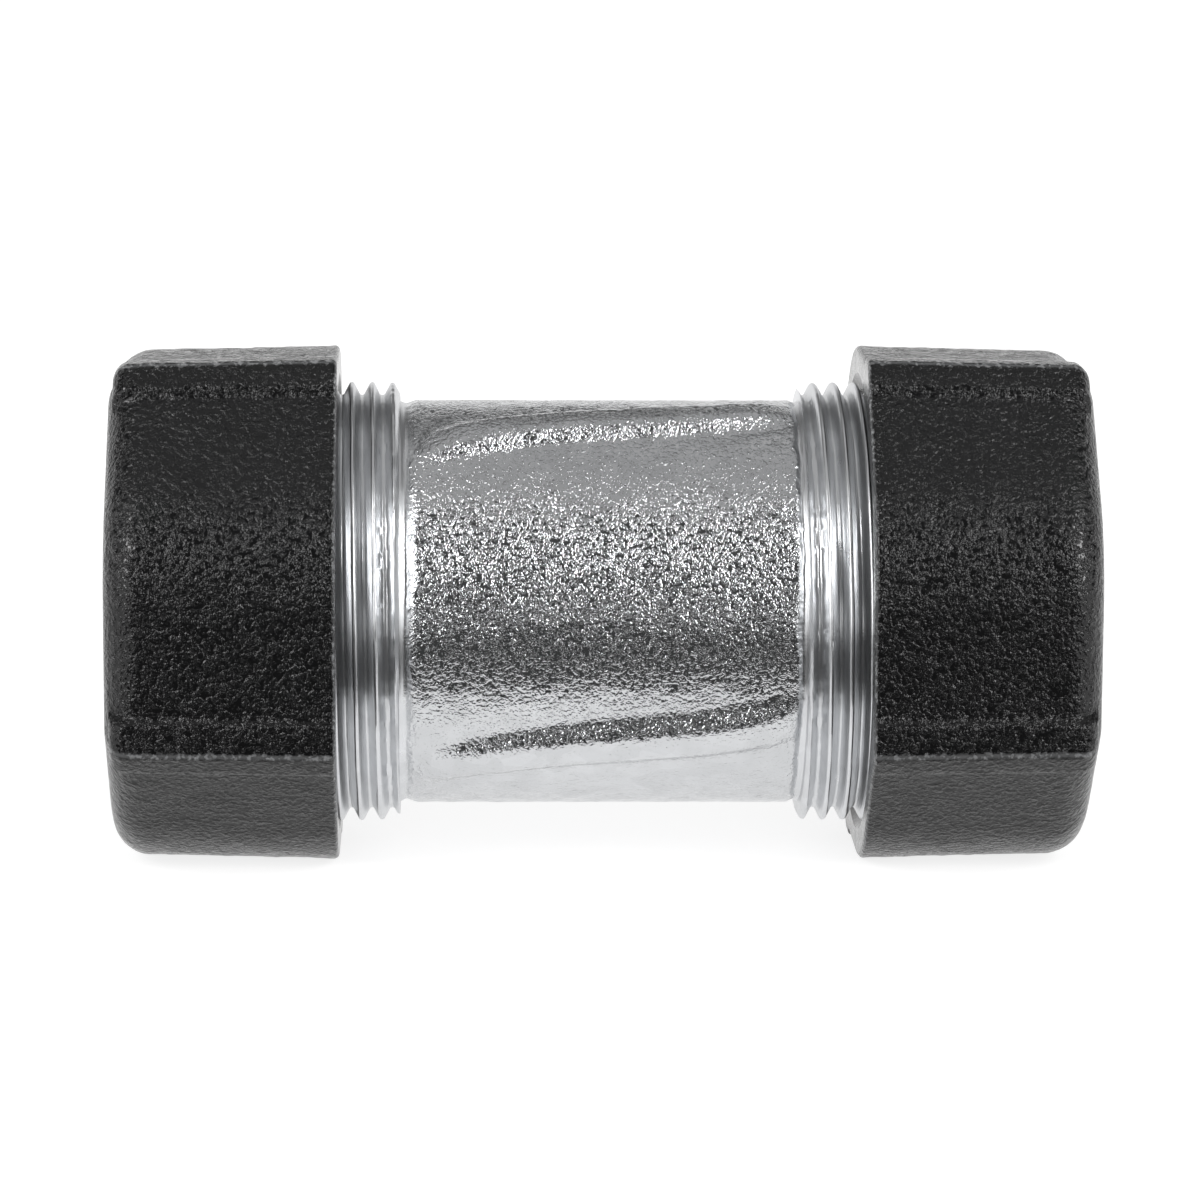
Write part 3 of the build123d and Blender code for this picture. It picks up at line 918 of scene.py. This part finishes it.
class COUPLING_OT_stage(bpy.types.Operator):
    """Set the floor, the lamps, the world and the camera"""
    bl_idname = "coupling.stage"
    bl_label = "Stage"

    def execute(self, context):
        settings = context.scene.coupling_stage
        scene = context.scene
        scene.view_settings.view_transform = "Standard"
        scene.world = studio_world()
        low = cad_box[0][2]
        floor_corners = ((-FLOOR_REACH, -FLOOR_REACH), (FLOOR_REACH, FLOOR_REACH))
        add_stage_sheet("floor", floor_corners, low, floor_material())
        flag = add_stage_sheet("flag", FLAG_CORNERS, low + MM, flag_material())
        flag.visible_camera = flag.visible_diffuse = flag.visible_shadow = False
        for side, sign in SIDES.items():
            for kind, (distance, turn, height, size) in LAMPS.items():
                place = from_front(distance, radians(turn) * sign, radians(height))
                add_lamp(side + "_" + kind, place, size, getattr(settings, kind))
        scene.camera = add_camera(settings)
        return {"FINISHED"}


class COUPLING_PT_panel(bpy.types.Panel):
    """Lists the coupling's sizes, finishes and build steps"""
    bl_idname = "COUPLING_PT_panel"
    bl_label = "Pipe clamp coupling"
    bl_space_type = "VIEW_3D"
    bl_region_type = "UI"
    bl_category = "Coupling"

    def draw(self, context):
        for group in GROUPS:
            settings = getattr(context.scene, group)
            box = self.layout.box()
            for name in settings.bl_rna.properties.keys():
                if name not in ("rna_type", "name"):
                    box.prop(settings, name)
        for operator in OPERATORS:
            self.layout.operator(operator.bl_idname)


GROUPS = {"coupling_sizes": CouplingSizes, "coupling_finishes": CouplingFinishes,
          "coupling_stage": CouplingStage}
OPERATORS = (COUPLING_OT_stage, COUPLING_OT_body, COUPLING_OT_nuts, COUPLING_OT_seats)


def register():
    for kind in (*GROUPS.values(), *OPERATORS, COUPLING_PT_panel):
        bpy.utils.register_class(kind)
    for name, group in GROUPS.items():
        setattr(bpy.types.Scene, name, PointerProperty(type=group))


def unregister():
    for name in GROUPS:
        delattr(bpy.types.Scene, name)
    for kind in (COUPLING_PT_panel, *reversed(OPERATORS), *reversed(GROUPS.values())):
        bpy.utils.unregister_class(kind)


def main():
    register()
    bpy.ops.coupling.stage()
    bpy.ops.coupling.body()
    bpy.ops.coupling.nuts()
    bpy.ops.coupling.seats()


if __name__ == "__main__":
    main()
